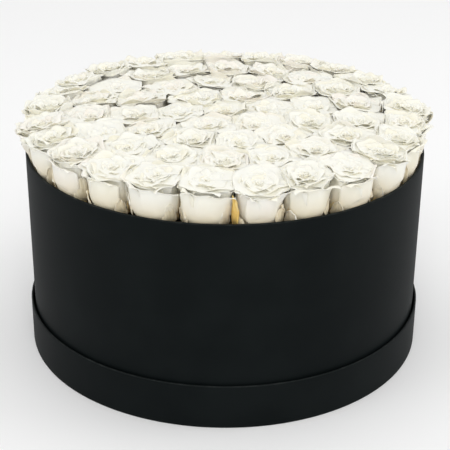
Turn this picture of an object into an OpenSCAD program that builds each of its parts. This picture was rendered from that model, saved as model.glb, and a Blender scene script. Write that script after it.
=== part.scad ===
// Round flower box: a papered board box filled with roses, standing in its own upturned lid.
// Millimetres. The origin is on the table under the middle of the lid, and +Z is up.

/* [Box] */
// Outside diameter of the papered box
box_d = 450; // [405:5:495]
// Height of the papered box, from its base to its rim
box_h = 231; // [210:1:255]
// Thickness of the board in the box's wall
wall_board_t = 2.6; // [2:0.1:3.2]
// Thickness of the board in the box's base
base_board_t = 2.5; // [2:0.1:3.2]

/* [Lid] */
// Height of the lid, which lies upside down under the box as a tray
lid_h = 51; // [40:1:60]
// Thickness of the board in the lid's rim
lid_board_t = 1.8; // [1.4:0.1:2.4]
// Thickness of the board in the lid's panel
panel_board_t = 2.5; // [2:0.1:3.2]
// Gap all round between the box and the lid's lining
lid_gap = 1.9; // [1.2:0.1:2.6]

/* [Paper] */
// Thickness of the wrapping and lining paper
paper_t = 0.3; // [0.2:0.05:0.4]
// Radius to which the edges of the boards are worn round
edge_r = 0.8; // [0.4:0.1:0.9]
// Depth to which the wrap is turned in over the box's rim
rim_turn_in = 20; // [12:1:30]
// Depth to which the wrap is turned in over the lid's open edge
lid_turn_in = 14; // [8:1:20]
// Width of the wrap that is turned onto the base and onto the panel
flat_turn_in = 12; // [8:1:20]
// Width over which the two ends of the box's wrap lie on each other
seam_w = 15; // [8:1:25]
// Gap that is left between the edges of two sheets
sheet_gap = 0.5; // [0.3:0.1:1.5]

/* [Foam] */
// Drop from the box's rim to the top of the foam
foam_drop = 22; // [18:1:28]
// Height of the lower foam block
lower_foam_h = 105; // [80:5:120]
// Gap all round between the foam and the lining
foam_gap = 0.6; // [0.4:0.1:1.5]

/* [Roses] */
// Diameter of one rose head
rose_d = 50; // [46:0.5:56]
// Height of one rose head above its hip
rose_h = 50; // [46:1:54]
// Height of the outermost petal lips above the hip
shoulder_h = 42; // [34:1:42]
// Number of petals in one head
petal_count = 13; // [9:1:14]
// Angle that one petal covers
petal_turn = 84; // [76:1:90]
// How late the petals close in towards the bud: 1 is evenly by area, and more is later
petal_spread = 1.6; // [1.2:0.1:1.7]
// Thickness of a petal
petal_t = 0.9; // [0.7:0.1:1]
// How far a petal's lip rolls outwards
roll_w = 1.2; // [0.8:0.1:1.4]
// How far the edge of the heart lies inside the outermost lips
heart_inset = 5; // [4:0.5:7]
// Height of the heart
heart_h = 12; // [10:1:14]
// Smallest gap between two rose heads
rose_gap = 0.6; // [0.5:0.1:2]
// How far the outer roses reach past the box's wall
rim_overhang = 3.5; // [1:0.5:4]
// Outward lean of the roses in the outer ring
rim_lean = 8; // [5:0.5:10]
// Angle of the first rose in the outer ring, counted from +X
first_rose = -81.2; // [-180:0.1:180]

/* [Stems] */
// Height of the hip under a rose head
hip_h = 10; // [8:0.5:12]
// Diameter of the hip where it meets the petals
hip_d = 17; // [15:0.5:19]
// Number of sepals in a calyx
sepal_count = 5; // [4:1:6]
// Angle that one sepal covers
sepal_turn = 40; // [30:1:55]
// Thickness of a sepal
sepal_t = 0.8; // [0.6:0.1:1]
// Diameter of the wooden pick that holds a rose
pick_d = 3; // [2:0.2:4]
// Length of a pick
pick_l = 70; // [50:1:76]
// Clearance between a pick and the hole that it stands in
pick_gap = 0.2; // [0.1:0.05:0.4]
// Clearance between a hip and what it seats on
seat_gap = 0.3; // [0.2:0.05:0.5]

/* [Hidden] */

$fn = 96;

// The lid, from the table upwards
box_r = box_d / 2;
fold_r = edge_r + paper_t;
lid_lining_r = box_r + lid_gap;
lid_board_in = lid_lining_r + paper_t;
lid_board_r = lid_board_in + lid_board_t;
lid_r = lid_board_r + paper_t;
lid_floor = paper_t + panel_board_t + paper_t;

// The box, which stands on the lid's lined floor
rim_z = lid_floor + box_h;
wall_r = box_r - paper_t;
wall_in = wall_r - wall_board_t;
lining_r = wall_in - paper_t;
base_top = lid_floor + paper_t + base_board_t;
box_floor = base_top + paper_t;
foam_r = lining_r - foam_gap;
foam_split = box_floor + lower_foam_h;
foam_top = rim_z - foam_drop;
seam_turn = seam_w / box_r * 180 / PI;

// The rings of roses, measured at the height where the heads are widest
head_z = hip_h + seat_gap;
widest_z = head_z + seat_gap + shoulder_h;
outer_ring_r = box_r + rim_overhang - rose_d / 2;
ring_count = floor(outer_ring_r / (rose_d + rose_gap));
ring_pitch = outer_ring_r / ring_count;

// The petals
golden = 180 * (3 - sqrt(5));
lip_r = rose_d / 2 - roll_w - petal_t / 2;
root_r = hip_d / 2 - 1.5;
heart_r = rose_d / 2 - heart_inset;
root_depth = 1;
bud_r = 3;

// The picks, of which hips cover the upper ends
pick_in = hip_h * 0.6;
point_l = 2 * pick_d;

BLACK = "#1f2425";
GREY = "#8a8680";
FOAM = "#a98f5e";
IVORY = "#f1efe2";
STRAW = "#c9ae7c";
WOOD = "#d8bd8f";

// ---- Helpers ----

// Points of an arc about c
function arc(c, r, from, turn, steps = 4) =
    [for (i = [0:steps]) c + r * [cos(from + turn * i / steps), sin(from + turn * i / steps)]];

// Outline of a wrapped rim's section: r_in and r_out bound the board, and the wrap follows it
// from a flat turn-in at z0, round the outside and over the edge at z1, and down the inside
function wrap_outline(r_in, r_out, z0, z1, turn_in) =
    let (low = [r_out - edge_r, z0 + fold_r], high = [r_out - edge_r, z1 - fold_r])
    let (inner = [r_in + edge_r, z1 - fold_r], flat_r = r_out + paper_t - flat_turn_in)
    concat(
        [[flat_r, z0 + paper_t], [flat_r, z0]],
        arc(low, fold_r, -90, 90),
        arc(high, fold_r, 0, 90),
        arc(inner, fold_r, 90, 90),
        [[r_in - paper_t, z1 - turn_in], [r_in, z1 - turn_in]],
        arc(inner, edge_r, 180, -90),
        arc(high, edge_r, 90, -90),
        arc(low, edge_r, 0, -90)
    );

// Section of a board ring whose edges, apart from the one inside at z0, are worn round
module board_section(r_in, r_out, z0, z1)
    polygon(concat(
        [[r_in, z0]],
        arc([r_out - edge_r, z0 + edge_r], edge_r, -90, 90),
        arc([r_out - edge_r, z1 - edge_r], edge_r, 0, 90),
        arc([r_in + edge_r, z1 - edge_r], edge_r, 90, 90)
    ));

module disc(r, z, t)
    translate([0, 0, z])
        cylinder(r = r, h = t, $fn = 360);

// ---- Lid ----

module lid_panel_board()
    color(GREY)
        disc(lid_board_in, paper_t, panel_board_t);

module lid_rim_board()
    color(GREY)
        rotate_extrude($fn = 360)
            board_section(lid_board_in, lid_board_r, paper_t, lid_h - paper_t);

module lid_panel_paper()
    color(BLACK)
        disc(lid_r - flat_turn_in - sheet_gap, 0, paper_t);

module lid_rim_paper()
    color(BLACK)
        rotate_extrude($fn = 360)
            polygon(wrap_outline(lid_board_in, lid_board_r, 0, lid_h, lid_turn_in));

module lid_lining()
    color(BLACK)
        rotate_extrude($fn = 360)
            difference() {
                translate([0, lid_floor - paper_t])
                    square([lid_board_in, lid_h - lid_turn_in - sheet_gap - lid_floor + paper_t]);
                translate([-1, lid_floor])
                    square([lid_lining_r + 1, lid_h]);
            }

// ---- Box ----

module box_base_board()
    color(GREY)
        disc(wall_in, lid_floor + paper_t, base_board_t);

module box_wall_board()
    color(GREY)
        rotate_extrude($fn = 360)
            board_section(wall_in, wall_r, lid_floor + paper_t, rim_z - paper_t);

module box_base_paper()
    color(BLACK)
        disc(box_r - flat_turn_in - sheet_gap, lid_floor, paper_t);

// The wrap's ends lie on each other at the back
module box_wall_paper()
    color(BLACK) {
        rotate_extrude($fn = 360)
            polygon(wrap_outline(wall_in, wall_r, lid_floor, rim_z, rim_turn_in));
        rotate_extrude(angle = seam_turn, start = 90 - seam_turn / 2, $fn = 360)
            translate([box_r - paper_t / 2, lid_floor + fold_r])
                square([paper_t * 1.5, box_h - 2 * fold_r]);
    }

module box_base_lining()
    color(BLACK)
        disc(lining_r - sheet_gap, base_top, paper_t);

module box_wall_lining()
    color(BLACK)
        rotate_extrude($fn = 360)
            translate([lining_r, base_top])
                square([paper_t, rim_z - rim_turn_in - sheet_gap - base_top]);

// ---- Foam ----

module lower_foam()
    color(FOAM)
        disc(foam_r, box_floor, lower_foam_h);

module upper_foam()
    color(FOAM)
        difference() {
            disc(foam_r, foam_split, foam_top - foam_split);
            for (k = [0:ring_count])
                in_ring(k)
                    pick(pick_gap);
        }

// ---- Places of the roses ----

// Ring 0 is the outer one, and ring ring_count is the single rose in the middle
function ring_r(k) = outer_ring_r - k * ring_pitch;
function roses_in(k) = k >= ring_count ? 1 : floor(180 / asin((rose_d + rose_gap) / 2 / ring_r(k)));
function lean_of(k) = rim_lean * ring_r(k) / outer_ring_r;

// Stands its children at each place in ring k, with z = 0 where a hip meets the foam
module in_ring(k) {
    lean = lean_of(k);
    foot_r = ring_r(k) - widest_z * sin(lean);
    lift = seat_gap + hip_d / 2 * sin(lean);
    for (i = [0:roses_in(k) - 1])
        rotate(first_rose + (k % 2 + i * 2) * 180 / roses_in(k))
            translate([foot_r, 0, foam_top + lift])
                rotate([0, lean, 0])
                    children();
}

module in_inner_rings()
    for (k = [3:max(3, ring_count)])
        in_ring(k)
            children();

// ---- One rose ----

// Line of the heart's outside, from its foot to its edge
HEART = [[root_r, 0], [heart_r * 0.8, heart_h * 0.35], [heart_r, heart_h]];

// Petals follow one another at the golden angle, from the outermost to the bud
function lip(i) = [
    lip_r * sqrt(1 - pow(i / petal_count, petal_spread)),
    shoulder_h + (rose_h - roll_w - shoulder_h) * sin(90 * i / (petal_count - 1))
];
function root(i) = [(heart_r - petal_t) * sqrt(1 - i / petal_count), heart_h - root_depth];
function belly(i) = (lip(i) + root(i)) / 2 + [petal_t, 0];

module petal(i) {
    side = [petal_t / 2, 0];
    rotate(i * golden - petal_turn / 2)
        rotate_extrude(angle = petal_turn)
            polygon([
                root(i) + side,
                belly(i) + side,
                lip(i) + side - [0, roll_w],
                lip(i) + side + [roll_w, -roll_w / 2],
                lip(i) + [roll_w / 2, roll_w],
                lip(i) - side + [0, roll_w / 2],
                belly(i) - side,
                root(i) - side
            ]);
}

module rose_head()
    translate([0, 0, head_z]) {
        rotate_extrude()
            polygon(concat([[0, 0]], HEART, [
                [bud_r, heart_h],
                [bud_r, rose_h - 2 * bud_r],
                [bud_r / 2, rose_h - bud_r],
                [0, rose_h - bud_r]
            ]));
        for (i = [0:petal_count - 1])
            petal(i);
    }

// ---- Calyx: the hip with its sepals, which lie along the heart ----

module sepal() {
    near = [seat_gap, -seat_gap];
    far = near + sepal_t * [1, -1];
    rotate_extrude(angle = sepal_turn)
        polygon(concat(
            [[root_r - sepal_t, far.y], [root_r - sepal_t, near.y]],
            [for (p = HEART) p + near],
            [for (p = [HEART[2], HEART[1]]) p + far]
        ));
}

module calyx()
    difference() {
        union() {
            cylinder(d1 = hip_d * 0.7, d2 = hip_d, h = hip_h);
            for (i = [0:sepal_count - 1])
                translate([0, 0, head_z])
                    rotate(i * 360 / sepal_count)
                        sepal();
        }
        translate([0, 0, -1])
            cylinder(r = pick_d / 2 + pick_gap, h = pick_in + pick_gap + 1);
    }

// ---- Pick: a wooden stick, pointed at its lower end ----

module pick(gap = 0)
    translate([0, 0, pick_in - pick_l]) {
        translate([0, 0, point_l])
            cylinder(r = pick_d / 2 + gap, h = pick_l - point_l);
        translate([0, 0, -gap])
            cylinder(r1 = pick_d / 8 + gap, r2 = pick_d / 2 + gap, h = point_l + gap);
    }

// ---- The flowers, ring by ring ----

module outer_roses() color(IVORY) in_ring(0) rose_head();
module second_roses() color(IVORY) in_ring(1) rose_head();
module third_roses() color(IVORY) in_ring(2) rose_head();
module inner_roses() color(IVORY) in_inner_rings() rose_head();

module outer_calyxes() color(STRAW) in_ring(0) calyx();
module second_calyxes() color(STRAW) in_ring(1) calyx();
module third_calyxes() color(STRAW) in_ring(2) calyx();
module inner_calyxes() color(STRAW) in_inner_rings() calyx();

module outer_picks() color(WOOD) in_ring(0) pick();
module second_picks() color(WOOD) in_ring(1) pick();
module third_picks() color(WOOD) in_ring(2) pick();
module inner_picks() color(WOOD) in_inner_rings() pick();

lid_panel_board();
lid_rim_board();
lid_panel_paper();
lid_rim_paper();
lid_lining();
box_base_board();
box_wall_board();
box_base_paper();
box_wall_paper();
box_base_lining();
box_wall_lining();
lower_foam();
upper_foam();
outer_roses();
second_roses();
third_roses();
inner_roses();
outer_calyxes();
second_calyxes();
third_calyxes();
inner_calyxes();
outer_picks();
second_picks();
third_picks();
inner_picks();
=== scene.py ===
"""A round flower box: a black papered box of white roses, standing in its own upturned lid.

All lengths are in metres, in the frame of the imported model: +Z is up and the origin lies on
the table under the middle of the lid.
"""

import logging
import math
from dataclasses import dataclass, field
from enum import Enum
from typing import Any, ClassVar

import bmesh
import bpy
import numpy as np
from mathutils import Matrix, Vector


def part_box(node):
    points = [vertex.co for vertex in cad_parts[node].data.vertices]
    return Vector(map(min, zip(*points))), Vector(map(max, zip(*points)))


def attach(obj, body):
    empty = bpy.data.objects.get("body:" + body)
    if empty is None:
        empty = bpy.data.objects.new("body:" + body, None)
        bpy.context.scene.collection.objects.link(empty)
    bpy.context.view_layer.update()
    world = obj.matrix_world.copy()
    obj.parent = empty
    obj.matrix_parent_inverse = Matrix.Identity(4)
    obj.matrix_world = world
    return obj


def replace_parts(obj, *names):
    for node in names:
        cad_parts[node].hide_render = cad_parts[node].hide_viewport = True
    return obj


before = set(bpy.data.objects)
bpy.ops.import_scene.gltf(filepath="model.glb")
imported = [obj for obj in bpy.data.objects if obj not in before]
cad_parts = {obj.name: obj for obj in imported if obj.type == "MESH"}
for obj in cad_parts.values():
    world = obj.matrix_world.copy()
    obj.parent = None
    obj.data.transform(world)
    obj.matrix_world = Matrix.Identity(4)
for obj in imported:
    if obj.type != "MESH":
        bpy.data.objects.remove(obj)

LOG = logging.getLogger("flower_box")
MM = 0.001
Colour = tuple[float, float, float]
Point = tuple[float, float, float]
Array = np.ndarray


# ---- Shader expressions ----


class Sock:
    """A shader socket that can stand in a Python expression of numbers."""

    def __init__(self, graph: "Graph", socket: bpy.types.NodeSocket) -> None:
        """Wraps one output socket of a graph's node."""
        self.graph = graph
        self.socket = socket

    def _math(self, operation: str, first: Any, second: Any) -> "Sock":
        """Adds one Math node for two operands and returns its result."""
        return self.graph.node("ShaderNodeMath", {"operation": operation}, {0: first, 1: second})

    def __add__(self, other: Any) -> "Sock":
        """Sum."""
        return self._math("ADD", self, other)

    def __radd__(self, other: Any) -> "Sock":
        """Sum with a number on the left."""
        return self._math("ADD", other, self)

    def __sub__(self, other: Any) -> "Sock":
        """Difference."""
        return self._math("SUBTRACT", self, other)

    def __rsub__(self, other: Any) -> "Sock":
        """Difference with a number on the left."""
        return self._math("SUBTRACT", other, self)

    def __mul__(self, other: Any) -> "Sock":
        """Product."""
        return self._math("MULTIPLY", self, other)

    def __rmul__(self, other: Any) -> "Sock":
        """Product with a number on the left."""
        return self._math("MULTIPLY", other, self)

    def __truediv__(self, other: Any) -> "Sock":
        """Quotient."""
        return self._math("DIVIDE", self, other)

    def __rtruediv__(self, other: Any) -> "Sock":
        """Quotient with a number on the left."""
        return self._math("DIVIDE", other, self)

    def __pow__(self, other: Any) -> "Sock":
        """Power."""
        return self._math("POWER", self, other)


class Graph:
    """The node tree of one material or world, filled by expressions."""

    def __init__(self, owner: bpy.types.Material | bpy.types.World) -> None:
        """Empties a tree.

        Args:
            owner: The material or world that it belongs to.
        """
        owner.use_nodes = True
        self.owner = owner
        self.tree = owner.node_tree
        self.tree.nodes.clear()

    def node(
        self,
        kind: str,
        settings: dict[str, Any] | None = None,
        inputs: dict[Any, Any] | None = None,
        output: int | str = 0,
    ) -> Sock:
        """Adds one node.

        Args:
            kind: The node's type.
            settings: What is set on the node itself, with "stops" for a ramp's colours.
            inputs: Values or links of its sockets, by name or number.
            output: Which output is wanted.

        Returns:
            The wanted output.
        """
        made = self.tree.nodes.new(kind)
        for key, value in (settings or {}).items():
            if key == "stops":
                self._set_stops(made.color_ramp, value)
            else:
                setattr(made, key, value)
        for key, value in (inputs or {}).items():
            if isinstance(value, Sock):
                self.tree.links.new(value.socket, made.inputs[key])
            elif isinstance(value, tuple) and len(value) == 3 and made.inputs[key].type == "RGBA":
                made.inputs[key].default_value = (*value, 1.0)
            else:
                made.inputs[key].default_value = value
        return Sock(self, made.outputs[output])

    @staticmethod
    def _set_stops(ramp: bpy.types.ColorRamp, stops: list[tuple[float, Colour]]) -> None:
        """Sets a ramp's stops.

        Args:
            ramp: The ramp.
            stops: Pairs of place and colour.
        """
        while len(ramp.elements) < len(stops):
            ramp.elements.new(1.0)
        for element, (place, colour) in zip(ramp.elements, stops):
            element.position = place
            element.color = (*colour, 1.0)

    def place(self) -> Sock:
        """Point on the surface in the object's own frame."""
        return self.node("ShaderNodeTexCoord", output="Object")

    def split(self, vector: Sock) -> tuple[Sock, Sock, Sock]:
        """The three parts of a vector.

        Args:
            vector: The vector.

        Returns:
            Its parts along X, Y and Z.
        """
        first = self.node("ShaderNodeSeparateXYZ", inputs={0: vector})
        outputs = first.socket.node.outputs
        return first, Sock(self, outputs[1]), Sock(self, outputs[2])

    def stretch(self, vector: Sock, scale: Point) -> Sock:
        """A vector multiplied part by part."""
        return self.node("ShaderNodeVectorMath", {"operation": "MULTIPLY"}, {0: vector, 1: scale})

    def noise(self, vector: Sock, scale: float, detail: float = 3.0, rough: float = 0.5) -> Sock:
        """Noise from 0 to 1 with that many features to the metre."""
        inputs = {"Vector": vector, "Scale": scale, "Detail": detail, "Roughness": rough}
        return self.node("ShaderNodeTexNoise", {"noise_dimensions": "3D"}, inputs)

    def ease(self, value: Sock, low: float, high: float, to: tuple[float, float] = (0.0, 1.0)) -> Sock:
        """Value eased from one range into another, and held at its ends.

        Args:
            value: The value.
            low: Where it starts to change.
            high: Where it stops.
            to: What it is at those two ends.

        Returns:
            The eased value.
        """
        settings = {"interpolation_type": "SMOOTHSTEP", "clamp": True}
        inputs = {0: value, 1: low, 2: high, 3: to[0], 4: to[1]}
        return self.node("ShaderNodeMapRange", settings, inputs)

    def mix(self, factor: Any, first: Any, second: Any) -> Sock:
        """Colour between two colours."""
        inputs = {0: factor, 6: first, 7: second}
        return self.node("ShaderNodeMix", {"data_type": "RGBA"}, inputs, output=2)

    def tag(self, name: str) -> Sock:
        """A number that the mesh carries at each of its points."""
        return self.node("ShaderNodeAttribute", {"attribute_name": name}, output="Fac")

    def bump(self, height: Sock, strength: float, distance: float) -> Sock:
        """Normal bent by a height field of that many metres."""
        inputs = {"Height": height, "Strength": strength, "Distance": distance}
        return self.node("ShaderNodeBump", {}, inputs)

    def close(self, **sockets: Any) -> bpy.types.Material:
        """Ends the tree in a Principled shader.

        Args:
            sockets: Its inputs, with underscores for spaces.

        Returns:
            The finished material.
        """
        inputs = {name.replace("_", " "): value for name, value in sockets.items()}
        shader = self.node("ShaderNodeBsdfPrincipled", {}, inputs)
        self.show(shader, "ShaderNodeOutputMaterial")
        return self.owner

    def show(self, shader: Sock, kind: str) -> None:
        """Links a shader to an output node of that kind."""
        made = self.tree.nodes.new(kind)
        self.tree.links.new(shader.socket, made.inputs["Surface"])


# ---- Finishes ----


@dataclass(frozen=True)
class Finish:
    """One finish, made into a material once and shared by what wears it."""

    name: str
    slot: str
    _made: ClassVar[dict[str, bpy.types.Material]] = {}

    def material(self) -> bpy.types.Material:
        """The finish's material.

        Returns:
            The material, which is painted at its first use.
        """
        if self.name not in self._made:
            self._made[self.name] = self.paint(Graph(bpy.data.materials.new(self.name)))
        return self._made[self.name]

    def paint(self, graph: Graph) -> bpy.types.Material:
        """Fills the graph. Each kind of finish has its own."""
        raise NotImplementedError

    def dress(self, piece: bpy.types.Object) -> None:
        """Gives a piece this material.

        Args:
            piece: The piece.
        """
        piece.data.materials.clear()
        piece.data.materials.append(self.material())

    def dress_node(self, node: str) -> None:
        """Gives a carried-over solid this material.

        Args:
            node: The solid's node.
        """
        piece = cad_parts[node]
        for place in piece.material_slots:
            place.material = self.material()


@dataclass(frozen=True)
class PaperFinish(Finish):
    """Uncoated black paper: a fine tooth, faint clouding and a lighter band along its folds, partly rubbed
    wear and partly painted highlight.
    """

    body: Colour = (0.0034, 0.0052, 0.0055)
    cloud: Colour = (0.0052, 0.0074, 0.0077)
    # Colour of the fold bands: partly rubbed wear, partly painted highlight.
    rub_and_highlight: Colour = (0.030, 0.034, 0.033)
    roughness: float = 0.58
    folds: tuple[float, ...] = ()
    fold_reach: float = 1.2 * MM

    def paint(self, graph: Graph) -> bpy.types.Material:
        """Paper, lighter at the heights of its folds: partly rubbed wear, partly painted highlight.

        Args:
            graph: The empty tree.

        Returns:
            The finished material.
        """
        place = graph.place()
        tooth = graph.noise(place, 2600.0, 2.0)
        fibre = graph.noise(graph.stretch(place, (1.0, 1.0, 0.35)), 900.0, 4.0, 0.6)
        clouds = graph.noise(place, 14.0, 3.0)
        colour = graph.mix(graph.ease(clouds, 0.35, 0.7), self.body, self.cloud)
        _, _, height = graph.split(place)
        patchy = graph.ease(graph.noise(place, 120.0, 4.0), 0.40, 0.72)
        # Painted highlight, partly rubbed wear: a patchy lighter band at each fold height.
        for fold in self.folds:
            away = graph.node("ShaderNodeMath", {"operation": "ABSOLUTE"}, {0: height - fold})
            edge = 1.0 - graph.ease(away, 0.0, self.fold_reach)
            colour = graph.mix(edge * (0.25 + 0.5 * patchy), colour, self.rub_and_highlight)
        rough = self.roughness + 0.10 * (fibre - 0.5) + 0.06 * (clouds - 0.5)
        relief = 0.6 * tooth + 0.4 * fibre
        return graph.close(
            Base_Color=colour,
            Roughness=rough,
            Specular_IOR_Level=0.06,
            Normal=graph.bump(relief, 0.22, 0.00006),
        )


@dataclass(frozen=True)
class PetalFinish(Finish):
    """A preserved petal: ivory, finely veined and softly matt, and darker and warmer towards its root, partly
    its own warmer base and partly painted shade.
    """

    ivory: Colour = (0.925, 0.910, 0.822)
    cream: Colour = (0.915, 0.880, 0.735)
    blush: Colour = (0.925, 0.862, 0.785)
    # root: warm darker colour low on the petals, partly the petal's own base tone and partly painted shade.
    root: Colour = (0.720, 0.600, 0.380)
    veins: float = 1500.0

    def paint(self, graph: Graph) -> bpy.types.Material:
        """Petal, tinted by the tags that its mesh carries.

        Args:
            graph: The empty tree.

        Returns:
            The finished material.
        """
        place = graph.place()
        reach, tone, blush = graph.tag("reach"), graph.tag("tone"), graph.tag("blush")
        patches = graph.noise(place, 55.0, 2.0)
        colour = graph.mix(graph.ease(0.6 * tone + 0.4 * patches, 0.42, 0.85), self.ivory, self.cream)
        colour = graph.mix(graph.ease(blush + 0.5 * patches, 0.80, 1.25, (0.0, 0.75)), colour, self.blush)
        # Painted shade, partly the petal's own warmer base: the lower part of each petal darkens toward the
        # root colour; guard petals, whose reach tag is scaled down, take it as their straw tint.
        colour = graph.mix(graph.ease(reach, 0.14, 0.68, (0.88, 0.0)), colour, self.root)
        vein = graph.noise(graph.stretch(place, (1.0, 1.0, 0.12)), self.veins, 3.0, 0.55)
        crumple = graph.noise(place, 260.0, 3.0, 0.5)
        colour = graph.mix(graph.ease(vein, 0.55, 0.85, (0.0, 0.10)), colour, self.cream)
        rough = 0.52 + 0.16 * (crumple - 0.5)
        relief = 0.45 * vein + 0.55 * crumple
        return graph.close(
            Base_Color=colour,
            Roughness=rough,
            Specular_IOR_Level=0.35,
            Subsurface_Weight=0.2,
            Subsurface_Radius=(1.0, 0.9, 0.75),
            Subsurface_Scale=0.0012,
            Sheen_Weight=0.12,
            Sheen_Roughness=0.5,
            Normal=graph.bump(relief, 0.35, 0.00022),
        )


@dataclass(frozen=True)
class LeafFinish(Finish):
    """A bleached sepal or dry leaf: straw-coloured, deeper in patches and along its veins, paler towards its
    tip.
    """

    straw: Colour = (0.86, 0.72, 0.46)
    deep: Colour = (0.70, 0.50, 0.22)
    tip: Colour = (0.90, 0.84, 0.64)

    def paint(self, graph: Graph) -> bpy.types.Material:
        """Leaf, tinted by the tags that its mesh carries.

        Args:
            graph: The empty tree.

        Returns:
            The finished material.
        """
        place = graph.place()
        reach = graph.tag("reach")
        patches = graph.noise(place, 150.0, 3.0)
        vein = graph.noise(graph.stretch(place, (1.0, 1.0, 0.10)), 1800.0, 3.0, 0.6)
        colour = graph.mix(graph.ease(patches, 0.35, 0.7), self.straw, self.deep)
        colour = graph.mix(graph.ease(reach, 0.55, 1.0, (0.0, 0.7)), colour, self.tip)
        colour = graph.mix(graph.ease(vein, 0.5, 0.8, (0.0, 0.35)), colour, self.deep)
        return graph.close(
            Base_Color=colour,
            Roughness=0.6 + 0.15 * (patches - 0.5),
            Specular_IOR_Level=0.3,
            Subsurface_Weight=0.2,
            Subsurface_Radius=(1.0, 0.7, 0.3),
            Subsurface_Scale=0.0015,
            Normal=graph.bump(0.6 * vein + 0.4 * patches, 0.4, 0.0003),
        )


@dataclass(frozen=True)
class FoamFinish(Finish):
    """Dry floral foam: tan, with open crumbled cells."""

    face: Colour = (0.66, 0.54, 0.33)
    cell: Colour = (0.46, 0.36, 0.19)

    def paint(self, graph: Graph) -> bpy.types.Material:
        """Foam with cells of about half a millimetre.

        Args:
            graph: The empty tree.

        Returns:
            The finished material.
        """
        place = graph.place()
        cells = graph.node("ShaderNodeTexVoronoi", {"feature": "F1"}, {"Vector": place, "Scale": 1700.0})
        crumbs = graph.noise(place, 500.0, 4.0, 0.6)
        colour = graph.mix(graph.ease(cells, 0.2, 0.7), self.face, self.cell)
        return graph.close(
            Base_Color=colour,
            Roughness=0.92 + 0.08 * (crumbs - 0.5),
            Specular_IOR_Level=0.15,
            Normal=graph.bump(0.5 * crumbs - 0.5 * cells, 0.8, 0.0004),
        )


@dataclass(frozen=True)
class WoodFinish(Finish):
    """Split wood of a pick: pale, with grain along its length."""

    pale: Colour = (0.62, 0.46, 0.26)
    grain: Colour = (0.42, 0.28, 0.14)

    def paint(self, graph: Graph) -> bpy.types.Material:
        """Wood, with its grain along Z.

        Args:
            graph: The empty tree.

        Returns:
            The finished material.
        """
        place = graph.place()
        line = graph.noise(graph.stretch(place, (1.0, 1.0, 0.04)), 2200.0, 4.0, 0.65)
        colour = graph.mix(graph.ease(line, 0.4, 0.65), self.pale, self.grain)
        return graph.close(
            Base_Color=colour,
            Roughness=0.62 + 0.15 * (line - 0.5),
            Normal=graph.bump(line, 0.4, 0.0002),
        )


@dataclass(frozen=True)
class BoardFinish(Finish):
    """Raw grey board: pressed fibres with darker flecks."""

    pulp: Colour = (0.27, 0.26, 0.235)
    fleck: Colour = (0.16, 0.15, 0.135)

    def paint(self, graph: Graph) -> bpy.types.Material:
        """Board, flecked and softly rough.

        Args:
            graph: The empty tree.

        Returns:
            The finished material.
        """
        place = graph.place()
        fibre = graph.noise(place, 1400.0, 4.0, 0.65)
        fleck = graph.ease(graph.noise(place, 420.0, 2.0), 0.6, 0.72)
        colour = graph.mix(fleck, self.pulp, self.fleck)
        return graph.close(
            Base_Color=colour,
            Roughness=0.88 + 0.1 * (fibre - 0.5),
            Normal=graph.bump(fibre, 0.5, 0.0002),
        )


# ---- Meshes ----


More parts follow.
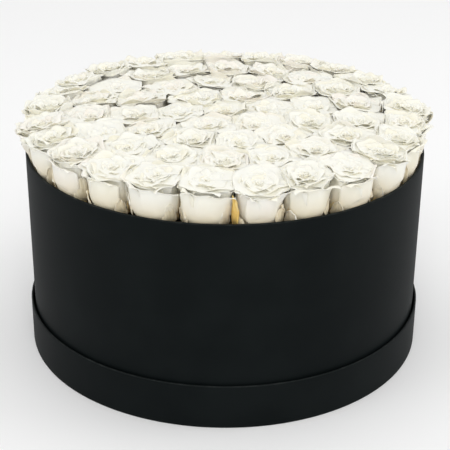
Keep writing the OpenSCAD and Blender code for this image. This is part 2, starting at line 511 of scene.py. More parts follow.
class MeshPart:
    """Points, faces and tags that are gathered and then made into one piece."""

    def __init__(self) -> None:
        """Starts empty."""
        self.points: list[Array] = []
        self.faces: list[Array] = []
        self.tags: dict[str, list[Array]] = {}
        self.count = 0

    def add(self, points: Array, faces: Array, **tags: Array) -> None:
        """Adds a stretch of surface.

        Args:
            points: N by 3 places.
            faces: M by 4 indices into the points.
            tags: N numbers each.
        """
        self.points.append(points)
        self.faces.append(faces + self.count)
        for name, values in tags.items():
            self.tags.setdefault(name, []).append(np.broadcast_to(values, len(points)))
        self.count += len(points)

    def sheet(self, grid: Array, thickness: float, **tags: Array) -> None:
        """Adds a closed thin sheet round a grid of places.

        Args:
            grid: Rows by columns by 3 places in the sheet's middle.
            thickness: How thick the sheet is.
            tags: Rows by columns numbers each.
        """
        rows, cols = grid.shape[:2]
        along = np.gradient(grid, axis=0)
        across = np.gradient(grid, axis=1)
        normal = np.cross(along, across)
        length = np.linalg.norm(normal, axis=2, keepdims=True)
        normal = normal / np.maximum(length, 1e-12)
        front = (grid + normal * thickness / 2).reshape(-1, 3)
        back = (grid - normal * thickness / 2).reshape(-1, 3)
        index = np.arange(rows * cols).reshape(rows, cols)
        quads = np.stack([index[:-1, :-1], index[1:, :-1], index[1:, 1:], index[:-1, 1:]], -1).reshape(-1, 4)
        border = np.concatenate([index[0, :], index[1:, -1], index[-1, -2::-1], index[-2:0:-1, 0]])
        turned = np.roll(border, -1)
        far = rows * cols
        rim = np.stack([border, turned, turned + far, border + far], -1)
        faces = np.concatenate([quads, quads[:, ::-1] + far, rim])
        both = {name: np.tile(np.broadcast_to(v, (rows, cols)).reshape(-1), 2) for name, v in tags.items()}
        self.add(np.concatenate([front, back]), faces, **both)

    def piece(self, name: str, body: str, finish: Finish) -> bpy.types.Object:
        """Makes the piece.

        Args:
            name: The piece's name.
            body: The body that it rides on.
            finish: What it is dressed in.

        Returns:
            The new object, in place and riding.
        """
        points = np.concatenate(self.points).astype(np.float32)
        faces = np.concatenate(self.faces).astype(np.int32)
        mesh = bpy.data.meshes.new(name)
        mesh.vertices.add(len(points))
        mesh.vertices.foreach_set("co", points.reshape(-1))
        mesh.loops.add(faces.size)
        mesh.loops.foreach_set("vertex_index", faces.reshape(-1))
        mesh.polygons.add(len(faces))
        mesh.polygons.foreach_set("loop_start", np.arange(0, faces.size, 4, dtype=np.int32))
        mesh.polygons.foreach_set("use_smooth", np.ones(len(faces), bool))
        for tag, values in self.tags.items():
            layer = mesh.attributes.new(tag, "FLOAT", "POINT")
            layer.data.foreach_set("value", np.concatenate(values).astype(np.float32))
        mesh.update(calc_edges=True)
        mesh.validate()
        made = bpy.data.objects.new(name, mesh)
        bpy.context.scene.collection.objects.link(made)
        finish.dress(made)
        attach(made, body)
        LOG.info("%s: %d faces", name, len(faces))
        return made


def smooth(value: Array | float, low: float, high: float) -> Array | float:
    """Eases value from 0 at low to 1 at high."""
    share = np.clip((value - low) / (high - low), 0.0, 1.0)
    return share * share * (3 - 2 * share)


def seat(grid: Array, matrix: Array) -> Array:
    """A grid of places in a head's own frame, as a list of places in the model's."""
    return grid.reshape(-1, 3) @ matrix[:3, :3].T + matrix[:3, 3]


def arc(
    centre: tuple[float, float], radius: float, start: float, turn: float, steps: int = 5
) -> list[tuple[float, float]]:
    """Points of an arc in degrees about a centre."""
    angles = [math.radians(start + turn * i / steps) for i in range(steps + 1)]
    return [(centre[0] + radius * math.cos(a), centre[1] + radius * math.sin(a)) for a in angles]


# ---- The papered box and lid ----


@dataclass
class Wrap:
    """Paper that runs round a board rim and is turned in over its edge."""

    name: str
    node: str
    board: str
    body: str
    finish: Finish
    turn_in: float
    flat_turn_in: float = 12 * MM
    edge: float = 0.8 * MM
    paper: float = 0.3 * MM
    waver: float = 0.10 * MM
    seam_width: float = 15 * MM
    seam_at: float = math.radians(90)
    crisp: float = math.radians(40)
    steps: int = 360
    rows: int = 14

    def outline(self) -> list[tuple[float, float]]:
        """Closed outline of the paper's section.

        Returns:
            Pairs of radius and height.
        """
        low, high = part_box(self.board)
        z0, z1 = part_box(self.node)[0][2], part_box(self.node)[1][2]
        r_out = high[0] - self.edge
        r_in = self.inner_radius() + self.edge
        fold = self.edge + self.paper
        flat_r = high[0] + self.paper - self.flat_turn_in
        top = z1 - fold
        points = [(flat_r, z0 + self.paper), (flat_r, z0)]
        points += arc((r_out, z0 + fold), fold, -90, 90)
        tall = top - z0 - fold
        points += [(high[0] + self.paper, z0 + fold + tall * i / self.rows) for i in range(1, self.rows)]
        points += arc((r_out, top), fold, 0, 90)
        points += arc((r_in, top), fold, 90, 90)
        points += [(r_in - fold, z1 - self.turn_in), (r_in - self.edge, z1 - self.turn_in)]
        points += arc((r_in, top), self.edge, 180, -90)
        points += arc((r_out, top), self.edge, 90, -90)
        points += arc((r_out, z0 + fold), self.edge, 0, -90)
        return points

    def inner_radius(self) -> float:
        """Inside radius of the board ring, read from its mesh.

        Returns:
            The radius.
        """
        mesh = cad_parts[self.board].data
        co = np.empty(len(mesh.vertices) * 3, np.float32)
        mesh.vertices.foreach_get("co", co)
        co = co.reshape(-1, 3)
        return float(np.hypot(co[:, 0], co[:, 1]).min())

    def angles(self, radius: float) -> Array:
        """Angles of the lathe's steps, closer together at the seam at the back.

        Args:
            radius: The paper's outer radius.

        Returns:
            The angles, in order.
        """
        half = self.seam_width / 2 / radius
        near = np.array([-1.6, -1.2, -1.04, -1.0, -0.9, -0.5, 0.0, 0.5, 0.9, 0.99, 1.0, 1.1, 1.3]) * half
        even = np.linspace(0, 2 * math.pi, self.steps + 1)[:-1]
        clear = np.abs(even - self.seam_at) > 1.7 * half
        return np.sort(np.concatenate([even[clear], near + self.seam_at]))

    def build(self) -> None:
        """Turns the outline round the axis, with the seam's step and a slight waver."""
        outline = np.array(self.outline())
        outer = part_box(self.board)[1][0] + self.paper
        angles = self.angles(outer)
        radius = outline[:, 0][None, :]
        height = np.broadcast_to(outline[:, 1][None, :], (len(angles), len(outline)))
        on_wall = smooth(radius, outer - 0.2 * MM, outer - 0.05 * MM)
        half = self.seam_width / 2 / outer
        off = (angles - self.seam_at) / half
        lap = np.where(off < 0, smooth(off, -1.6, -1.0), 1 - smooth(off, 0.99, 1.01)) * self.paper
        a = angles[:, None]
        wave = np.sin(3 * a + 1.3) * np.cos(9 * height + 0.4) + 0.6 * np.sin(7 * a - 0.7 + 21 * height)
        grown = radius + (lap[:, None] + self.waver * wave) * on_wall
        grid = np.stack([grown * np.cos(a), grown * np.sin(a), height], -1)
        steps, count = grid.shape[:2]
        index = np.arange(steps * count).reshape(steps, count)
        ahead = np.roll(index, -1, axis=0)
        faces = np.stack([index, ahead, np.roll(ahead, -1, axis=1), np.roll(index, -1, axis=1)], -1)
        part = MeshPart()
        part.add(grid.reshape(-1, 3), faces.reshape(-1, 4))
        made = part.piece(self.name, self.body, self.finish)
        made.data.set_sharp_from_angle(angle=self.crisp)
        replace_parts(made, self.node)


# ---- One rose head ----


class Whorl(Enum):
    """Which turn of petals a petal belongs to."""

    OUTER = "outer"
    MIDDLE = "middle"
    BUD = "bud"


@dataclass(frozen=True)
class WhorlShape:
    """How the petals of one whorl are made, from its first to its last.

    start and span are shares of the way from the rim to the bud, wide and narrow are shares of
    the head's reach, and back, hug and deep place the widest point below the lip.
    """

    petals: int
    start: float
    span: float
    wide: float
    narrow: float
    curl: float
    roll: float
    degrees: float
    back: float
    hug: float
    deep: float
    rows: int
    cols: int


WHORLS = {
    Whorl.OUTER: WhorlShape(
        petals=9, start=0.0, span=0.28, wide=1.0, narrow=0.74, curl=1.3, roll=7.0 * MM,
        degrees=66, back=0.4, hug=0.0, deep=12 * MM, rows=21, cols=25,
    ),
    Whorl.MIDDLE: WhorlShape(
        petals=10, start=0.28, span=0.32, wide=0.66, narrow=0.34, curl=1.45, roll=6.5 * MM,
        degrees=68, back=0.5, hug=7 * MM, deep=7 * MM, rows=17, cols=21,
    ),
    Whorl.BUD: WhorlShape(
        petals=11, start=0.60, span=0.40, wide=0.31, narrow=0.05, curl=1.3, roll=2.6 * MM,
        degrees=98, back=1.2, hug=4 * MM, deep=6 * MM, rows=13, cols=17,
    ),
}


@dataclass
class Petal:
    """Shape of one petal: a cupped sheet round the head's axis with a rolled lip.

    Lengths are in metres and angles in radians. Radii and heights are from the head's axis
    and from its foot on the foam.
    """

    azimuth: float
    half_turn: float
    root: tuple[float, float]
    low: tuple[float, float]
    full: tuple[float, float]
    crest: tuple[float, float]
    roll: float
    curl: float
    drop: float
    point: float
    tuck: float
    ripple: float
    crease: float
    tight: float
    phases: Array
    shade: float = 1.0
    slope: float = 0.0
    rows: int = 19
    cols: int = 21
    body_share: float = 0.66
    thickness: float = 0.34 * MM

    def grid(self) -> tuple[Array, Array]:
        """Bends the petal.

        Returns:
            Places of the sheet's middle, and how far up the petal each of them lies.
        """
        v = np.linspace(0, 1, self.rows)[:, None]
        u = np.linspace(-1, 1, self.cols)[None, :]
        rise = np.minimum(v / self.body_share, 1.0)
        lip = np.clip((v - self.body_share) / (1 - self.body_share), 0.0, 1.0)
        side = np.abs(u)
        tip = np.exp(-((u / 0.24) ** 2))
        drop = self.drop * side**2.4
        crest_r = self.crest[0] * (1 - 0.05 * side**2) + self.tuck * u
        crest_z = self.crest[1] - drop + self.point * tip + self.slope * u
        b0, b1, b2, b3 = (1 - rise) ** 3, 3 * rise * (1 - rise) ** 2, 3 * rise**2 * (1 - rise), rise**3
        radius = b0 * self.root[0] + b1 * self.low[0] + b2 * self.full[0] + b3 * crest_r
        height = b0 * self.root[1] + b1 * self.low[1] + b2 * (self.full[1] - 0.6 * drop) + b3 * crest_z
        turn = self.curl * lip * (0.80 + 0.45 * side**2)
        bend = self.roll * (0.8 + 0.25 * np.sin(3 * u + self.phases[0]) + 0.3 * tip)
        radius = radius + bend * (1 - np.cos(turn))
        height = height + bend * np.sin(turn)
        radius = radius + 0.28 * self.roll * smooth(side, 0.66, 1.0) * smooth(rise, 0.3, 1.0)
        waves = np.sin(6.6 * u + self.phases[1]) + 0.6 * np.sin(13.5 * u + self.phases[2] + 3 * v)
        radius = radius + self.ripple * waves * rise**2
        height = height + self.ripple * (np.sin(10 * u + self.phases[3]) + 0.5 * np.sin(23 * u)) * rise**4
        fold = (1 - np.abs(np.sin(2.9 * u + self.phases[2]))) ** 3
        radius = radius + self.crease * fold * rise**3
        spread = 0.42 + 0.58 * smooth(rise, 0.0, 0.62) - 0.30 * lip * side**2
        angle = self.azimuth + u * self.half_turn * spread
        points = np.stack([radius * np.cos(angle), radius * np.sin(angle), height], -1)
        return points, np.broadcast_to(v * self.shade, points.shape[:2])


@dataclass
class RoseHead:
    """A rose head: petals that follow one another at the golden angle, from the rim to the bud."""

    seed: int
    outward: float
    reach: float = 28.0 * MM
    foot: float = 10.3 * MM
    shoulder: float = 60 * MM
    height: float = 59 * MM
    golden: float = math.radians(137.508)
    tightest: float = 1.07
    open_side: float = 0.0
    core_reach: float = 28.0 * MM
    core_depth: float = 1.2 * MM
    core_seed: int = 7000
    guard_turn: float = 0.95
    ragged: int = 3

    def petals(self) -> list[Petal]:
        """All petals of the head.

        Returns:
            The petals, the outermost first.
        """
        rng = np.random.default_rng(self.seed)
        turn = self.outward + rng.uniform(-0.35, 0.35)
        opening = rng.uniform(0.95, 1.06)
        lift = rng.uniform(-1.5, 1.5) * MM
        sides = (-self.guard_turn, self.guard_turn) if self.open_side > 0 else ()
        made = [self.guard(rng, self.outward + side) for side in sides]
        for whorl in Whorl:
            for k in range(WHORLS[whorl].petals):
                azimuth = turn + (len(made) - len(sides)) * self.golden
                made.append(self.petal(rng, whorl, k, azimuth, opening, lift))
        return made

    def core(self) -> tuple[Array, Array]:
        """The short folded petals that fill the head under the lips, as one rumpled sheet.

        Returns:
            Its points, and how far up the petals each of them lies.
        """
        rng = np.random.default_rng(self.seed + self.core_seed)
        share = np.linspace(0.02, 1, 11)[:, None]
        around = np.linspace(0, 2 * math.pi, 41)[None, :]
        wave = rng.uniform(0, 2 * math.pi, 3)
        rumple = np.sin(5 * around + 9 * share + wave[0]) + 0.6 * np.sin(9 * around - 14 * share + wave[1])
        fall = self.open_side * np.maximum(0.0, np.cos(around - self.outward)) * share**2
        radius = self.core_reach * share * (1 + 0.02 * np.sin(7 * around + wave[2]) - 0.17 * fall)
        height = self.shoulder - self.core_depth - (2.0 * (1 - share) + 4.5 * fall) * MM
        height = height + 0.5 * MM * rumple * np.minimum(1.0, 3 * share)
        turned = np.stack([radius * np.cos(around), radius * np.sin(around), height], -1)
        return turned, np.full(turned.shape[:2], 0.8)

    def guard(self, rng: np.random.Generator, azimuth: float) -> Petal:
        """A short, straw-tinted petal that stands outside the others.

        Args:
            rng: The head's own random numbers.
            azimuth: Where round the axis it stands.

        Returns:
            The petal's shape.
        """
        return Petal(
            azimuth=azimuth + rng.uniform(-0.1, 0.1),
            half_turn=math.radians(rng.uniform(15, 21)),
            root=(8.5 * MM, self.foot + 0.6 * MM),
            low=(30 * MM, self.foot + 1 * MM),
            full=(27 * MM, 24 * MM),
            crest=(26 * MM, rng.uniform(28, 42) * MM),
            roll=rng.uniform(1.5, 3.0) * MM,
            curl=rng.uniform(0.8, 2.2),
            drop=9 * MM,
            point=rng.uniform(0.5, 3.0) * MM,
            tuck=0.8 * MM,
            ripple=0.5 * MM,
            crease=1.0 * MM,
            tight=1.11,
            shade=rng.uniform(0.35, 0.6),
            phases=rng.uniform(0, 2 * math.pi, 4),
        )

    def petal(
        self, rng: np.random.Generator, whorl: Whorl, k: int, azimuth: float, opening: float, lift: float
    ) -> Petal:
        """One petal.

        Args:
            rng: The head's own random numbers.
            whorl: Which turn of petals it belongs to.
            k: Its number in the whorl, from outside.
            azimuth: Where round the axis the petal stands.
            opening: How wide the head has opened.
            lift: How much higher the head stands than the mean.

        Returns:
            The petal's shape.
        """
        shape = WHORLS[whorl]
        part = k / (shape.petals - 1)
        share = shape.span * part + shape.start
        full_r = self.reach * opening * (shape.wide + (shape.narrow - shape.wide) * part)
        curl = shape.curl * rng.uniform(0.75, 1.25)
        roll = shape.roll * rng.uniform(0.8, 1.2)
        half_turn = math.radians(shape.degrees * rng.uniform(0.92, 1.1))
        dome = math.sin(math.pi / 2 * min(1.0, share * 1.3)) - 0.3 * max(0.0, share - 0.7)
        crest_z = self.shoulder + (self.height - self.shoulder) * dome + lift + rng.uniform(-1.2, 1.2) * MM
        fall = 0.0
        if whorl is Whorl.OUTER:
            fall = self.open_side * max(0.0, math.cos(azimuth - self.outward)) * (1 - 0.8 * part)
            droop = 3.2 * fall * rng.uniform(0.3, 1.3)
            droop += rng.uniform(0, 2) if k < self.ragged else 0.0
            crest_z -= droop * MM
            curl += 0.25 * fall
        uneven = (1.7 * (1 - share) ** 2 + 2.4 * fall) * MM
        crest_r = max(0.6 * MM, full_r - shape.back * roll)
        root_z = self.foot + 1.0 * MM + 7 * MM * share
        return Petal(
            azimuth=azimuth + rng.uniform(-0.12, 0.12),
            half_turn=half_turn,
            root=(8.0 * MM * (1 - share) + 0.8 * MM, root_z),
            low=(1.08 * full_r, root_z + 0.5 * MM),
            full=(crest_r + shape.hug, crest_z - 0.6 * roll - shape.deep),
            crest=(crest_r, crest_z - 0.8 * roll),
            roll=roll,
            curl=curl,
            drop=(2.4 * (1 - share) + 1.0) * MM,
            point=rng.uniform(0.4, 2.4) * MM * (1 - share),
            tuck=(1.0 + 0.6 * share) * MM,
            ripple=rng.uniform(0.15, 0.40) * MM * (1 - 0.6 * share),
            crease=rng.uniform(0.0, 0.8) * MM * (1 - share),
            tight=self.tightest - (0.02 * (k // 3) if whorl is Whorl.OUTER else 0.04 + 0.3 * share),
            phases=rng.uniform(0, 2 * math.pi, 4),
            slope=rng.uniform(-1, 1) * uneven,
            rows=shape.rows,
            cols=shape.cols,
        )


@dataclass
class Stand:
    """Where one rose stands: its foot on the foam and the direction of its axis."""

    foot: Vector
    axis: Vector
    ring: str

    def matrix(self) -> Matrix:
        """Turns a head's own frame into the model's."""
        turn = Vector((0, 0, 1)).rotation_difference(self.axis)
        return Matrix.Translation(self.foot) @ turn.to_matrix().to_4x4()

    def centre_at(self, height: Array) -> Array:
        """The axis's place in plan at each height."""
        share = (height - self.foot.z) / self.axis.z
        return np.stack([self.foot.x + self.axis.x * share, self.foot.y + self.axis.y * share], -1)


@dataclass
class RoseBed:
    """All the roses in the box, pressed against each other and against the wall."""

    rings: tuple[str, ...] = ("outer", "second", "third", "inner")
    pick_in: float = 6 * MM
    middle: float = 10 * MM
    wall_gap: float = 0.5 * MM
    over_rim: float = 10.0 * MM
    knee: float = 0.18
    crowd: float = 0.055
    rise: float = 0.55
    half_room: float = 25.0 * MM
    fill: float = 0.9
    neighbour_count: int = 9
    spread_heights: tuple[float, float] = (36 * MM, 56 * MM)
    spread_radii: tuple[float, float] = (8 * MM, 24 * MM)
    most_spread: float = 0.6
    most_rise: float = 5 * MM
    core_tight: float = 1.09
    core_corner: float = 90.0
    core_thickness: float = 0.4 * MM
    core_tone: float = 0.4
    shape_seed: int = 100
    leaf_seed: int = 500
    lean_seed: int = 900
    tilt: float = math.radians(2.5)
    petal_finish: Finish = field(default_factory=lambda: PetalFinish("white_petal", "petals"))
    leaf_finish: Finish = field(default_factory=lambda: LeafFinish("straw_leaf", "calyx"))
    old_finish: Finish = field(
        default_factory=lambda: LeafFinish(
            name="golden_petal",
            slot="petals",
            straw=(0.86, 0.60, 0.20),
            deep=(0.78, 0.50, 0.14),
            tip=(0.90, 0.72, 0.36),
        )
    )
    old_bearing: float = math.radians(-81.2)
    stands: list[Stand] = field(default_factory=list)

    def __post_init__(self) -> None:
        """Reads the rim's height and the wall's radii from the frame."""
        self.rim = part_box("box_wall_paper")[1][2]
        self.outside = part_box("box_wall_paper")[1][0]
        self.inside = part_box("box_base_lining")[1][0] - self.wall_gap

    def find_stands(self) -> None:
        """Reads each rose's place from its pick: the middle of its flat top and its point."""
        for ring in self.rings:
            for low, high in sorted(self.sticks(ring + "_picks"), key=self.turn_order):
                axis = (high - low).normalized()
                self.stands.append(Stand(high - axis * self.pick_in, axis, ring))
        LOG.info("%d roses", len(self.stands))

    def turn_order(self, stick: tuple[Vector, Vector]) -> tuple[bool, float]:
        """Where a stick comes in its ring: the one in the middle first, and then by bearing."""
        top = stick[1]
        return top.xy.length > self.middle, math.atan2(top.y, top.x)

    def sticks(self, node: str) -> list[tuple[Vector, Vector]]:
        """Ends of each pick in a node.

        Args:
            node: The picks' node.

        Returns:
            Pairs of the point below and the middle of the flat top.
        """
        mesh = bmesh.new()
        mesh.from_mesh(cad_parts[node].data)
        bmesh.ops.remove_doubles(mesh, verts=mesh.verts, dist=1e-6)
        mesh.verts.index_update()
        seen: set[int] = set()
        found = []
        for first in mesh.verts:
            if first.index in seen:
                continue
            seen.add(first.index)
            island, edge = [], [first]
            while edge:
                vert = edge.pop()
                island.append(vert.co.copy())
                for link in vert.link_edges:
                    other = link.other_vert(vert)
                    if other.index not in seen:
                        seen.add(other.index)
                        edge.append(other)
            found.append(self.ends(np.array(island)))
        mesh.free()
        return found

    @staticmethod
    def ends(points: Array) -> tuple[Vector, Vector]:
        """The middles of a stick's lower and upper ends.

        Args:
            points: The stick's corners.

        Returns:
            The point below and the middle of the flat top.
        """
        mean = points.mean(0)
        _, _, axes = np.linalg.svd(points - mean)
        along = axes[0] * np.sign(axes[0][2])
        share = (points - mean) @ along
        ends = []
        for end in (share.min(), share.max()):
            near = points[np.abs(share - end) < 0.2 * MM]
            ends.append(Vector((near.max(0) + near.min(0)) / 2))
        return ends[0], ends[1]

    def neighbours(self, i: int) -> list[int]:
        """The nearest other roses.

        Args:
            i: Which rose.

        Returns:
            Their numbers, the nearest first.
        """
        here = self.stands[i].foot
        order = sorted(range(len(self.stands)), key=lambda j: (self.stands[j].foot - here).length)
        return order[1 : self.neighbour_count + 1]

    def squeeze(self, i: int, points: Array, tight: float, power: float = 26.0) -> Array:
        """Presses a head's points inside its own room.

        Args:
            i: Which rose.
            points: Its points in the model's frame.
            tight: The share of the room that they may fill.
            power: How sharp the room's corners are.

        Returns:
            The points, with those that would reach a neighbour or the wall drawn in.
        """
        stand = self.stands[i]
        height = points[:, 2]
        centre = stand.centre_at(height)
        out = points[:, :2] - centre
        reach = np.linalg.norm(out, axis=1)
        unit = out / np.maximum(reach, 1e-9)[:, None]
        total = np.zeros(len(points))
        for j in self.neighbours(i):
            away = self.stands[j].centre_at(height) - centre
            apart = np.linalg.norm(away, axis=1)
            lean = self.crowd * math.sin(12.9898 * (i + j) + 78.233 * abs(i - j)) * (1 if i < j else -1)
            facing = np.sum(unit * away, axis=1) / apart
            limit = apart * (0.5 + lean) / np.maximum(facing, 0.05)
            total += limit**-power
        inner = self.inside * np.ones(len(points))
        spread = (total + self.to_circle(centre, unit, inner) ** -power) ** (-1 / power) / self.half_room - 1
        upper = smooth(height - stand.foot.z, *self.spread_heights)
        spread = np.clip(spread, 0.0, self.most_spread)
        wide = 1 + self.fill * spread * smooth(reach, *self.spread_radii) * upper
        total += self.wall_room(centre, unit, height) ** -power
        limit = total ** (-1 / power)
        share = reach * wide / limit
        start = tight - self.knee
        pressed = np.where(share < start, share, start + self.knee * np.tanh((share - start) / self.knee))
        moved = points.copy()
        moved[:, :2] = centre + unit * (pressed * limit)[:, None]
        moved[:, 2] += self.rise * np.clip(reach - pressed * limit, 0.0, self.most_rise)
        return moved

    def wall_room(self, centre: Array, unit: Array, height: Array) -> Array:
        """Distance to the wall, or to a little past the rim above it.

        Args:
            centre: Where each distance starts in plan.
            unit: The direction of each.
            height: How high each lies.

        Returns:
            The distances.
        """
        spread = self.outside + self.over_rim - self.inside
        bound = self.inside + spread * smooth(height, self.rim + 1 * MM, self.rim + 20 * MM)
        return self.to_circle(centre, unit, bound)

    @staticmethod
    def to_circle(centre: Array, unit: Array, bound: Array) -> Array:
        """Distance from each centre along each direction to a circle round the box's axis."""
        along = np.sum(centre * unit, axis=1)
        return -along + np.sqrt(np.maximum(along**2 - np.sum(centre**2, axis=1) + bound**2, 1e-12))

    def lay(self, part: MeshPart, i: int, matrix: Array, petal: Petal, **tags: float) -> None:
        """Adds a petal to a part, pressed into its head's room.

        Args:
            part: The part.
            i: Which rose it belongs to.
            matrix: Turns the head's own frame into the model's.
            petal: The petal's shape.
            tags: Numbers that the petal carries.
        """
        grid, reach = petal.grid()
        pressed = self.squeeze(i, seat(grid, matrix), petal.tight)
        part.sheet(pressed.reshape(grid.shape), petal.thickness, reach=reach, **tags)

    def build(self) -> None:
        """Makes every head and its leaves, and lets them stand for the solids."""
        self.find_stands()
        for i, stand in enumerate(self.stands):
            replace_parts(self.head(i, stand), stand.ring + "_roses")
        for ring in self.rings:
            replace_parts(self.calyxes(ring), ring + "_calyxes")
        self.golden_petal()

    def golden_petal(self) -> None:
        """Makes the one old petal, turned golden, that shows between two heads at the front."""
        outer = [i for i, stand in enumerate(self.stands) if stand.ring == "outer"]
        bearing = {i: math.atan2(self.stands[i].foot.y, self.stands[i].foot.x) for i in outer}
        i = min(outer, key=lambda j: abs(bearing[j] - self.old_bearing))
        petal = Petal(
            azimuth=bearing[i] - 0.98,
            half_turn=math.radians(10),
            root=(8.5 * MM, 11 * MM),
            low=(33 * MM, 12 * MM),
            full=(30 * MM, 28 * MM),
            crest=(29 * MM, 48 * MM),
            roll=3.0 * MM,
            curl=1.3,
            drop=14 * MM,
            point=4 * MM,
            tuck=-1.2 * MM,
            ripple=0.6 * MM,
            crease=1.5 * MM,
            tight=1.12,
            phases=np.array([0.4, 2.1, 1.3, 4.0]),
        )
        part = MeshPart()
        self.lay(part, i, np.array(self.stands[i].matrix()), petal)
        part.piece("golden_petal", "box", self.old_finish)

    def head(self, i: int, stand: Stand) -> bpy.types.Object:
        """One rose head as a piece of its own.

        Args:
            i: Its number.
            stand: Where it stands.

        Returns:
            The head.
        """
        rng = np.random.default_rng(self.lean_seed + i)
        outward = math.atan2(stand.foot.y, stand.foot.x)
        rose = RoseHead(self.shape_seed + i, outward, open_side=float(stand.ring == "outer"))
        tilt = Matrix.Rotation(rng.normal(0, self.tilt), 4, "X")
        tilt = tilt @ Matrix.Rotation(rng.normal(0, self.tilt), 4, "Y")
        matrix = np.array(stand.matrix() @ tilt)
        part = MeshPart()
        warmth = rng.uniform(0, 0.5)
        for petal in rose.petals():
            tone = rng.uniform(0, 1)
            self.lay(part, i, matrix, petal, tone=tone, blush=warmth + rng.uniform(0, 0.5))
        grid, reach = rose.core()
        pressed = self.squeeze(i, seat(grid, matrix), self.core_tight, self.core_corner)
        tags = {"reach": reach, "tone": self.core_tone, "blush": warmth}
        part.sheet(pressed.reshape(grid.shape), self.core_thickness, **tags)
        return part.piece(f"rose_{stand.ring}_{i:02d}", "box", self.petal_finish)

    def calyxes(self, ring: str) -> bpy.types.Object:
        """The hips and sepals under a ring of roses, as one piece.

        Args:
            ring: The ring.

        Returns:
            The piece.
        """
        part = MeshPart()
        for i, stand in enumerate(self.stands):
            if stand.ring == ring:
                self.calyx(part, i, stand)
        return part.piece(f"calyx_{ring}", "box", self.leaf_finish)

    def calyx(self, part: MeshPart, i: int, stand: Stand) -> None:
        """Adds one hip and its five sepals to a part.

        Args:
            part: The part.
            i: Which rose they belong to.
            stand: Where it stands.
        """
        rng = np.random.default_rng(self.leaf_seed + i)
        matrix = np.array(stand.matrix())
        outward = math.atan2(stand.foot.y, stand.foot.x)
        around = np.linspace(0, 2 * math.pi, 25)[:, None]
        rise = np.linspace(0, 1, 9)[None, :]
        swell = (5.6 + 2.9 * np.sin(rise * 1.9)) * MM
        hip = np.stack([swell * np.cos(around), swell * np.sin(around), rise * 10 * MM + 0 * around], -1)
        reach = np.broadcast_to(0.3 * rise, hip.shape[:2])
        part.sheet(seat(hip, matrix).reshape(hip.shape), 0.6 * MM, reach=reach)
        for k in range(5):
            tall = rng.uniform(19, 22) if k == 0 else rng.uniform(25, 36)
            sepal = Petal(
                azimuth=outward + k * math.radians(72) + rng.uniform(-0.15, 0.15),
                half_turn=math.radians(14),
                root=(7.2 * MM, 9.6 * MM),
                low=(25 * MM, 10.5 * MM),
                full=(25 * MM, 16 * MM),
                crest=(25 * MM, tall * MM),
                roll=1.2 * MM,
                curl=rng.uniform(0.2, 1.2),
                drop=9 * MM,
                point=2 * MM,
                tuck=0.3 * MM,
                ripple=0.3 * MM,
                crease=0.5 * MM,
                tight=0.99,
                phases=rng.uniform(0, 2 * math.pi, 4),
                rows=13,
                cols=9,
                thickness=0.5 * MM,
            )
            self.lay(part, i, matrix, sepal)


# ---- The whole ----


@dataclass
class FlowerBox:
    """The lid, the box and the roses."""

    black: Finish = field(default_factory=lambda: PaperFinish("lining_paper", "lining_paper", roughness=0.6))
    board: Finish = field(default_factory=lambda: BoardFinish("grey_board", "grey_board"))
    foam: Finish = field(default_factory=lambda: FoamFinish("dry_foam", "foam"))
    wood: Finish = field(default_factory=lambda: WoodFinish("pick_wood", "pick_wood"))

    def build(self) -> None:
        """Builds and dresses every piece."""
        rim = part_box("box_wall_paper")[1][2]
        lid_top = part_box("lid_rim_paper")[1][2]
        # The fold heights get lighter bands on the paper: partly rubbed wear, partly painted highlight.
        box_paper = PaperFinish("box_paper", "black_paper", folds=(rim,))
        lid_paper = PaperFinish("lid_paper", "black_paper", folds=(lid_top, 0.0))
        Wrap("box_wrap", "box_wall_paper", "box_wall_board", "box", box_paper, 20 * MM).build()
        Wrap("lid_wrap", "lid_rim_paper", "lid_rim_board", "lid", lid_paper, 14 * MM).build()
        RoseBed().build()
        self.dress_inside()

    def dress_inside(self) -> None:
        """Dresses the solids that stay as they are."""
        for node in ("lid_lining", "box_base_lining", "box_wall_lining", "box_base_paper", "lid_panel_paper"):
            self.black.dress_node(node)
        for node in ("lid_panel_board", "lid_rim_board", "box_base_board", "box_wall_board"):
            self.board.dress_node(node)
        for node in ("lower_foam", "upper_foam"):
            self.foam.dress_node(node)
        for ring in RoseBed.rings:
            self.wood.dress_node(ring + "_picks")


# ---- Light and camera ----


@dataclass(frozen=True)
class Lamp:
    """A square soft lamp: where it hangs, what it faces, the length of its side and its watts."""

    name: str
    place: Point
    aim: Point
    size: float
    power: float

    def hang(self) -> None:
        """Adds the lamp to the scene."""
        data = bpy.data.lights.new(self.name, "AREA")
        data.size = self.size
        data.energy = self.power
        lamp = bpy.data.objects.new(self.name, data)
        bpy.context.scene.collection.objects.link(lamp)
        lamp.location = self.place
        away = Vector(self.aim) - Vector(self.place)
        lamp.rotation_euler = away.to_track_quat("-Z", "Y").to_euler()


LAMPS = (
    Lamp("front_softbox", (0.1, -3.5, 3.5), (0.0, 0.0, 0.2), 2.3, 56.0),
    Lamp("top_softbox", (0.0, 0.2, 4.2), (0.0, 0.0, 0.2), 2.8, 25.0),
    Lamp("left_softbox", (-3.2, -1.6, 2.6), (0.0, 0.0, 0.2), 1.6, 11.5),
    Lamp("right_softbox", (3.8, 0.2, 1.6), (0.0, 0.0, 0.15), 1.8, 22.0),
)


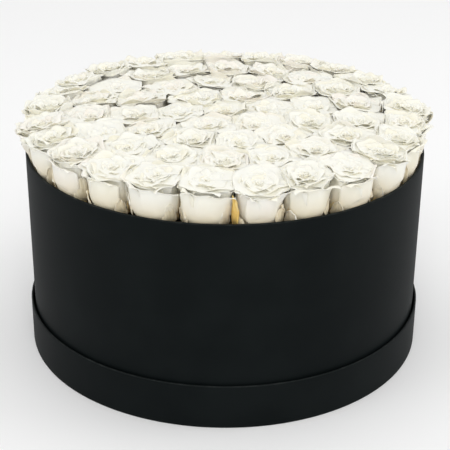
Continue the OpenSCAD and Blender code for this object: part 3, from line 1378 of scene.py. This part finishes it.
@dataclass
class Studio:
    """Pale floor, soft lamps and the camera."""

    camera_at: Point = (-0.00320, -1.29463, 0.73834)
    elevation: float = math.radians(25.232)
    yaw: float = math.radians(0.1727)
    roll: float = math.radians(0.478)
    lens: float = 97.22
    sensor: float = 36.0
    white: float = 0.922
    fill: float = 0.70
    floor_half: float = 6.0
    floor_colour: Colour = (0.955, 0.955, 0.955)

    def build(self) -> None:
        """Makes the stage."""
        self.camera()
        self.world()
        self.floor()
        for lamp in LAMPS:
            lamp.hang()
        bpy.context.scene.view_settings.view_transform = "Standard"

    def camera(self) -> None:
        """Places the camera: its direction first, then its slight roll."""
        data = bpy.data.cameras.new("camera")
        data.lens = self.lens
        data.sensor_width = self.sensor
        data.clip_end = 50.0
        camera = bpy.data.objects.new("camera", data)
        bpy.context.scene.collection.objects.link(camera)
        flat = math.cos(self.elevation)
        forward = Vector((math.sin(self.yaw) * flat, math.cos(self.yaw) * flat, -math.sin(self.elevation)))
        right = Vector((math.cos(self.yaw), -math.sin(self.yaw), 0.0))
        up = right.cross(forward)
        level = Matrix((right, up, -forward)).transposed()
        turned = level @ Matrix.Rotation(self.roll, 3, "Z")
        camera.matrix_world = Matrix.Translation(self.camera_at) @ turned.to_4x4()
        bpy.context.scene.camera = camera

    def world(self) -> None:
        """White to the camera, in reflections and through glass, and a gentle fill for the rest."""
        world = bpy.data.worlds.new("studio")
        graph = Graph(world)
        rays = graph.node("ShaderNodeLightPath").socket.node.outputs
        seen = Sock(graph, rays["Is Camera Ray"])
        for ray in ("Is Glossy Ray", "Is Transmission Ray"):
            other = Sock(graph, rays[ray])
            seen = graph.node("ShaderNodeMath", {"operation": "MAXIMUM"}, {0: seen, 1: other})
        level = graph.node("ShaderNodeMapRange", {}, {0: seen, 3: self.fill, 4: self.white})
        back = graph.node("ShaderNodeBackground", {}, {"Color": (1.0, 1.0, 1.0), "Strength": level})
        graph.show(back, "ShaderNodeOutputWorld")
        bpy.context.scene.world = world

    def floor(self) -> None:
        """A wide pale floor that keeps the shadow."""
        mesh = bpy.data.meshes.new("floor")
        half = self.floor_half
        corners = [(-half, -half, 0), (half, -half, 0), (half, half, 0), (-half, half, 0)]
        mesh.from_pydata(corners, [], [(0, 1, 2, 3)])
        floor = bpy.data.objects.new("floor", mesh)
        bpy.context.scene.collection.objects.link(floor)
        graph = Graph(bpy.data.materials.new("floor"))
        paint = graph.close(Base_Color=self.floor_colour, Roughness=0.9, Specular_IOR_Level=0.0)
        mesh.materials.append(paint)


def main() -> None:
    """Builds the flower box and its studio."""
    logging.basicConfig(level=logging.INFO, format="%(name)s: %(message)s")
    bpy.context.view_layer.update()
    FlowerBox().build()
    Studio().build()


if __name__ == "__main__":
    main()
